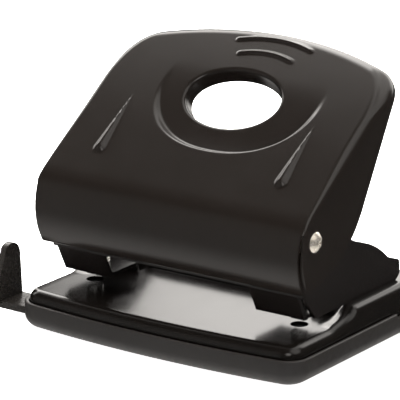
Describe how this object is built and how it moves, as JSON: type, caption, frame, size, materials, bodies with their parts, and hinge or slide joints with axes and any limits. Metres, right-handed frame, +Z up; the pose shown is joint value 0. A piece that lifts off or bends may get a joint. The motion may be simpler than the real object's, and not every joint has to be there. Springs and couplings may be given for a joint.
{
  "type": "two-hole paper punch",
  "caption": "Office hole punch: black pressed steel lever with an oval opening, sheet frame with sprung punch pins, painted base on a plastic chip tray, and a sliding paper guide.",
  "frame": {"origin": "middle of the chip tray's underside, on the surface it stands on", "axes": "+X along the line of the two holes, to the right as seen from the paper side; -Y towards the paper side (front), +Y to the rear; +Z up"},
  "size_m": [0.1213, 0.0856, 0.0914],
  "materials": {
    "tray_plastic": "fine satin moulding",
    "guide_plastic": "satin moulding",
    "spring_steel": "drawn wire and strip",
    "base_paint": "glossy black enamel",
    "frame_paint": "semi-gloss black enamel",
    "lever_paint": "satin black enamel",
    "bare_steel": "zinc plated sheet",
    "rivet_steel": "nickel plated",
    "spacer_plastic": "natural nylon",
    "tool_steel": "ground steel"
  },
  "bodies": {
    "base": {"base_plate": "base_paint", "die_plate_left": "bare_steel", "die_plate_right": "bare_steel", "frame": "frame_paint", "frame_rivets": "rivet_steel", "pivot_rivet_left": "rivet_steel", "pivot_rivet_right": "rivet_steel", "pivot_spacer_left": "spacer_plastic", "pivot_spacer_right": "spacer_plastic", "punch_spring_left": "spring_steel", "punch_spring_right": "spring_steel"},
    "lever": {"lever": "lever_paint", "press_channel": "bare_steel"},
    "punch_left": {"punch_pin_left": "tool_steel", "retaining_clip_left": "bare_steel", "spring_washer_left": "bare_steel"},
    "punch_right": {"punch_pin_right": "tool_steel", "retaining_clip_right": "bare_steel", "spring_washer_right": "bare_steel"},
    "tray": {"chip_tray": "tray_plastic", "guide_rail": "tray_plastic", "guide_detent_spring": "spring_steel"},
    "guide": {"paper_guide": "guide_plastic"}
  },
  "joints": [
    {"name": "lever_hinge", "type": "hinge", "parent": "base", "child": "lever", "pos_m": [0, -0.0252, 0.044], "axis": [-1, 0, 0], "range_deg": [0, 30], "stiffness_Nm_per_rad": 0.345, "springref_deg": -24.64},
    {"name": "punch_left_slide", "type": "slide", "parent": "base", "child": "punch_left", "axis": [0, 0, -1], "range_m": [0, 0.0049], "deforming": ["punch_spring_left"]},
    {"name": "punch_right_slide", "type": "slide", "parent": "base", "child": "punch_right", "axis": [0, 0, -1], "range_m": [0, 0.0049], "deforming": ["punch_spring_right"]},
    {"name": "tray_slide", "type": "slide", "parent": "base", "child": "tray", "axis": [0, 0, -1], "range_m": [0, 0.0045]},
    {"name": "guide_slide", "type": "slide", "parent": "tray", "child": "guide", "axis": [-1, 0, 0], "range_m": [-0.009, 0.0845]}
  ],
  "couplings": [
    {"joint": "punch_left_slide", "follows": "lever_hinge", "m_per_rad": 0.00929},
    {"joint": "punch_right_slide", "follows": "lever_hinge", "m_per_rad": 0.00929}
  ]
}
